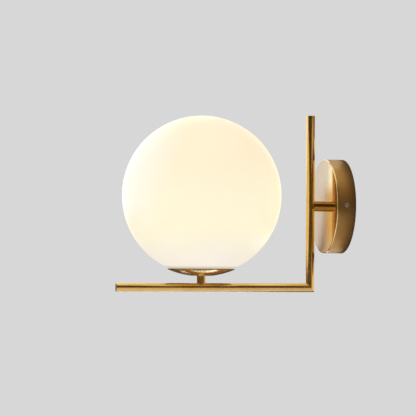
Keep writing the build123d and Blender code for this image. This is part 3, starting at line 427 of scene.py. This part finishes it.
def add_world():
    """Light from all round, with a pale background for the camera, mirrors and glass."""
    world = bpy.data.worlds.new("world")
    scene.world = world
    world.use_nodes = True
    tree = world.node_tree
    tree.nodes.clear()
    path = tree.nodes.new("ShaderNodeLightPath").outputs
    seen = math_node(tree, "MAXIMUM", path["Is Camera Ray"], path["Is Glossy Ray"])
    seen = math_node(tree, "MAXIMUM", seen, path["Is Transmission Ray"])
    fill = add(tree, "ShaderNodeBackground", Color=(*FILL, 1.0), Strength=FILL_LEVEL)
    shown = add(tree, "ShaderNodeBackground", Color=(*PALE, 1.0), Strength=1.0)
    mixed = add(tree, "ShaderNodeMixShader", _0=seen, _1=fill.outputs[0], _2=shown.outputs[0])
    output = tree.nodes.new("ShaderNodeOutputWorld")
    tree.links.new(mixed.outputs[0], output.inputs["Surface"])


def add_lamp(name, spot, aim, width, watts):
    """A soft square box that faces aim, unseen by the camera and in reflections."""
    data = bpy.data.lights.new(name, "AREA")
    data.shape = "RECTANGLE"
    data.size = data.size_y = width
    data.energy = watts
    lamp = bpy.data.objects.new(name, data)
    scene.collection.objects.link(lamp)
    lamp.location = spot
    lamp.rotation_euler = (Vector(aim) - Vector(spot)).to_track_quat("-Z", "Y").to_euler()
    lamp.visible_camera = False
    lamp.visible_glossy = False


scene.view_settings.view_transform = "Standard"
add_world()
for lamp_row in LAMPS:
    add_lamp(*lamp_row)


# ------------------------------------------------------------------ reflectors
def stage_mesh(name, corners, faces):
    """A mesh of the studio, which isn't part of the object."""
    mesh = bpy.data.meshes.new(name)
    mesh.from_pydata([Vector(c) for c in corners], [], faces)
    item = bpy.data.objects.new(name, mesh)
    scene.collection.objects.link(item)
    return item


def rectangle(low, high):
    """The four corners between the lowest and the highest, in order."""
    return [low, (high[0], low[1]), high, (low[0], high[1])]


def card(name, corners, faces, paint, level=1.0):
    """A reflector that only reflections see. paint is a colour or gives one for a node tree."""
    item = stage_mesh(name, corners, faces)
    material, tree, shader = new_material(name)
    if callable(paint):
        tone = paint(tree)
    else:
        tone = blend_colours(tree, noise(tree, 1.3, 2.0, 0.5), paint, darker(paint, 0.88))
    tree.links.new(tone, shader.inputs["Emission Color"])
    shader.inputs["Base Color"].default_value = (0.0, 0.0, 0.0, 1.0)
    shader.inputs["Specular IOR Level"].default_value = 0.0
    shader.inputs["Emission Strength"].default_value = level
    item.data.materials.append(material)
    item.visible_camera = False
    item.visible_diffuse = False
    item.visible_shadow = False
    item.visible_transmission = False


OBJECT_SPOT = (0.0, -0.1, 0.0)
ARM_SPOT = (0.0, -0.16, ARM_Z)
DISH_SPOT = (0.0, GLOBE_Y, DISH_Z)
CARD_FRONT = math.atan2(-0.5523, 1.8372)   # the direction that turns start from, near the camera's
CARD_COLUMNS, CARD_ROWS = 24, 12


def curved_card(name, turns, tilts, colour, level=1.0, centre=OBJECT_SPOT, distance=3.2):
    """Part of a sphere about centre, in degrees to the camera's right and up."""
    corners = []
    for j in range(CARD_ROWS + 1):
        tilt = math.radians(tilts[0] + (tilts[1] - tilts[0]) * j / CARD_ROWS)
        for i in range(CARD_COLUMNS + 1):
            turn = math.radians(turns[0] + (turns[1] - turns[0]) * i / CARD_COLUMNS) + CARD_FRONT
            corners.append((centre[0] + distance * math.cos(tilt) * math.cos(turn),
                            centre[1] + distance * math.cos(tilt) * math.sin(turn),
                            centre[2] + distance * math.sin(tilt)))
    row = CARD_COLUMNS + 1
    starts = [j * row + i for j in range(CARD_ROWS) for i in range(CARD_COLUMNS)]
    faces = [(k, k + 1, k + 1 + row, k + row) for k in starts]
    card(name, corners, faces, colour, level)


# far ones: a white side, a dark side towards the camera and a warm, dim side towards the mounting
# plane give the brass its bands
OPEN_SIDE, CAMERA_SIDE, MOUNT_SIDE = (-178.0, -69.0), (-69.0, 24.0), (24.0, 150.0)
DARK = (0.070, 0.050, 0.030)
curved_card("white_card", OPEN_SIDE, (-12.0, 50.0), (1.0, 0.98, 0.93), 1.40)
curved_card("dark_card", CAMERA_SIDE, (-9.0, 50.0), DARK)
curved_card("warm_card", MOUNT_SIDE, (-28.0, 3.8), (0.19, 0.120, 0.080))
curved_card("warm_card_upper", MOUNT_SIDE, (3.8, 7.0), (0.42, 0.32, 0.36))
curved_card("dim_card", MOUNT_SIDE, (7.0, 50.0), (0.12, 0.085, 0.055))
curved_card("top_card", (-178.0, 178.0), (52.0, 89.0), (1.0, 0.97, 0.92), 1.20)

# nearer ones above the floor: light ones that the arm shows below its dark line, and a light patch
# between dark ones that the dish's underside shows
curved_card("low_card", (18.0, 98.0), (-60.0, -27.0), (0.76, 0.70, 0.84), 1.0, ARM_SPOT, 0.80)
curved_card("ground_card", (-180.0, 180.0), (-89.0, -60.0), (0.98, 0.92, 1.00), 1.0, ARM_SPOT, 0.82)

UNDER, UNDER_LIGHT = (0.13, 0.085, 0.055), (1.0, 1.14, 1.65)
RIGHT, PATCH_RIGHT, PATCH_LEFT, LEFT = 100.0, 173.0, 194.5, 260.0       # turns, behind the lamp
FOOT, PATCH_FOOT, PATCH_TOP, TOP = -61.0, -41.8, -28.5, -2.5            # tilts
UNDER_CARDS = (
    # name, turns, tilts, colour, level
    ("far_card_upper", (RIGHT, LEFT), (PATCH_TOP, TOP), UNDER, 1.0),
    ("far_card_light", (PATCH_RIGHT, PATCH_LEFT), (PATCH_FOOT, PATCH_TOP), UNDER_LIGHT, 2.6),
    ("far_card_left", (PATCH_LEFT, LEFT), (PATCH_FOOT, PATCH_TOP), UNDER, 1.0),
    ("far_card_right", (RIGHT, PATCH_RIGHT), (PATCH_FOOT, PATCH_TOP), UNDER, 1.0),
    ("far_card_lower", (RIGHT, LEFT), (FOOT, PATCH_FOOT), UNDER, 1.0),
)
for card_row in UNDER_CARDS:
    curved_card(*card_row, DISH_SPOT, 0.95)

# small flat ones beside the canopy, whose polished face shows a pale one, a dark line and beyond it
# a warm one, and dark ones for the arm's end and the stem
NEAR_X = -0.35
NEAR_FOOT, NEAR_TOP = -0.10, 0.16
PALE_EDGE = (    # y and z of the pale one's edge, and the dark line's width there
    (-0.1387, NEAR_TOP, 0.004), (-0.1387, 0.060, 0.004), (-0.1357, 0.030, 0.004),
    (-0.1342, 0.0124, 0.004), (-0.1320, -0.015, 0.006), (-0.1292, -0.033, 0.008),
    (-0.1262, -0.0480, 0.010), (-0.1215, -0.0560, 0.012), (-0.112, -0.066, 0.014),
    (-0.100, NEAR_FOOT, 0.014),
)
GOLD, DEEP_GOLD = (1.02, 0.68, 0.20), (0.42, 0.25, 0.07)
GOLD_TOP, GOLD_FOOT = (1.6, 1.75, 1.9), (0.80, 0.64, 0.50)


def near_card(name, outline, paint, offset=0.0):
    """A flat reflector from its outline in y and z, offset behind the others."""
    corners = [(NEAR_X - offset, y, z) for y, z in outline]
    card(name, corners, [tuple(range(len(outline)))], paint)


def gold_tone(tree):
    """Gold that is deeper beside the dark line, white at the top and paler at the foot."""
    _, y, z = coordinates(tree)
    tone = blend_colours(tree, ramp(tree, y, (-0.148, -0.134), FALL), DEEP_GOLD, GOLD)
    tone = blend_colours(tree, ramp(tree, z, (0.030, 0.052)), tone, GOLD_TOP)
    return blend_colours(tree, ramp(tree, z, (-0.045, -0.020), FALL), tone, GOLD_FOOT)


edge = [(y, z) for y, z, _ in PALE_EDGE]
line = [(y - width, z) for y, z, width in PALE_EDGE]
near_card("pale_reflector", edge + [(0.0, NEAR_FOOT), (0.0, NEAR_TOP)], (0.80, 0.86, 1.22))
near_card("edge_strip", line + edge[::-1], (0.10, 0.050, 0.030), 0.001)
near_card("warm_reflector", edge + [(-0.32, NEAR_FOOT), (-0.32, NEAR_TOP)], gold_tone, 0.002)
near_card("end_reflector", rectangle((-0.47, -0.17), (-0.34, -0.05)), DARK, 0.003)
stem_corners = rectangle((-0.30, -0.125), (0.16, -0.070))
card("stem_reflector", [(x, -0.33, z) for x, z in stem_corners], [(0, 1, 2, 3)], DARK, 1.5)

# parts of a ring in the mounting plane, which the canopy's side and the tubes show
BACK_Y = 0.0008
RING_R = (0.0615, 0.090)               # from just outside the canopy
SECTOR_R = (0.0902, 0.135)             # round the ring
FOOT_R = (0.0902, 0.170)
SHADOW_R = 0.074                       # how far out the canopy's own shadow reaches
BACK_SHADE, CANOPY_SHADOW = (0.15, 0.095, 0.062), (0.02, 0.013, 0.008)
NO_FADE = (0.2, 0.3)                   # beyond every patch
BACK_STEPS = 48


def back_patch(name, radii, turns, light, heights, fade=NO_FADE):
    """Part of the ring, between two radii and two turns in degrees.

    It is dark beside the canopy and in shade at the canopy's middle height. Above and below, it
    turns to light from one of the heights to the other, but not where x is past fade.
    """
    first, last = turns
    angles = [math.radians(first + (last - first) * i / BACK_STEPS) for i in range(BACK_STEPS + 1)]
    corners = [(r * math.cos(a), BACK_Y, r * math.sin(a)) for r in radii for a in angles]
    row = BACK_STEPS + 1
    faces = [(i, i + 1, i + 1 + row, i + row) for i in range(BACK_STEPS)]

    def paint(tree):
        x, _, z = coordinates(tree)
        level = math_node(tree, "ABSOLUTE", z)
        lit = math_node(tree, "MULTIPLY", ramp(tree, level, heights), ramp(tree, x, fade, FALL))
        tone = blend_colours(tree, lit, BACK_SHADE, light)
        radius, _ = polar(tree, (0.0, 0.0, 0.0), (X, Z))
        beside = ramp(tree, radius, (RING_R[0], SHADOW_R), FALL)
        return blend_colours(tree, beside, tone, CANOPY_SHADOW)

    card(name, corners, faces, paint)


back_patch("wall_ring", RING_R, (0.0, 360.0), (0.98, 0.84, 0.78), (0.060, 0.084), (0.002, 0.018))
back_patch("wall_sector_upper", SECTOR_R, (0.0, 75.0), (0.70, 0.50, 0.37), (0.000, 0.060))
back_patch("wall_sector_lower", SECTOR_R, (-68.0, 0.0), (0.50, 0.35, 0.23), (0.017, 0.070))
back_patch("wall_foot", FOOT_R, (-150.0, -68.5), (1.0, 0.90, 0.85), (0.050, 0.085))

# ------------------------------------------------------------------ floor
FLOOR_Z = -0.95                        # well below the lamp
FLOOR_LIGHT, FLOOR_DEEP = (0.74, 0.74, 0.75), (0.70, 0.70, 0.71)
FLOOR_ROUGHNESS = 0.8
floor_corners = rectangle((-2.6, -2.8), (2.8, 2.6))
floor = stage_mesh("floor", [(x, y, FLOOR_Z) for x, y in floor_corners], [(0, 1, 2, 3)])
floor_paint, floor_tree, floor_shader = new_material("floor")
floor_tone = blend_colours(floor_tree, noise(floor_tree, 2.0, 3.0, 0.5), FLOOR_LIGHT, FLOOR_DEEP)
floor_tree.links.new(floor_tone, floor_shader.inputs["Base Color"])
floor_shader.inputs["Roughness"].default_value = FLOOR_ROUGHNESS
floor.data.materials.append(floor_paint)
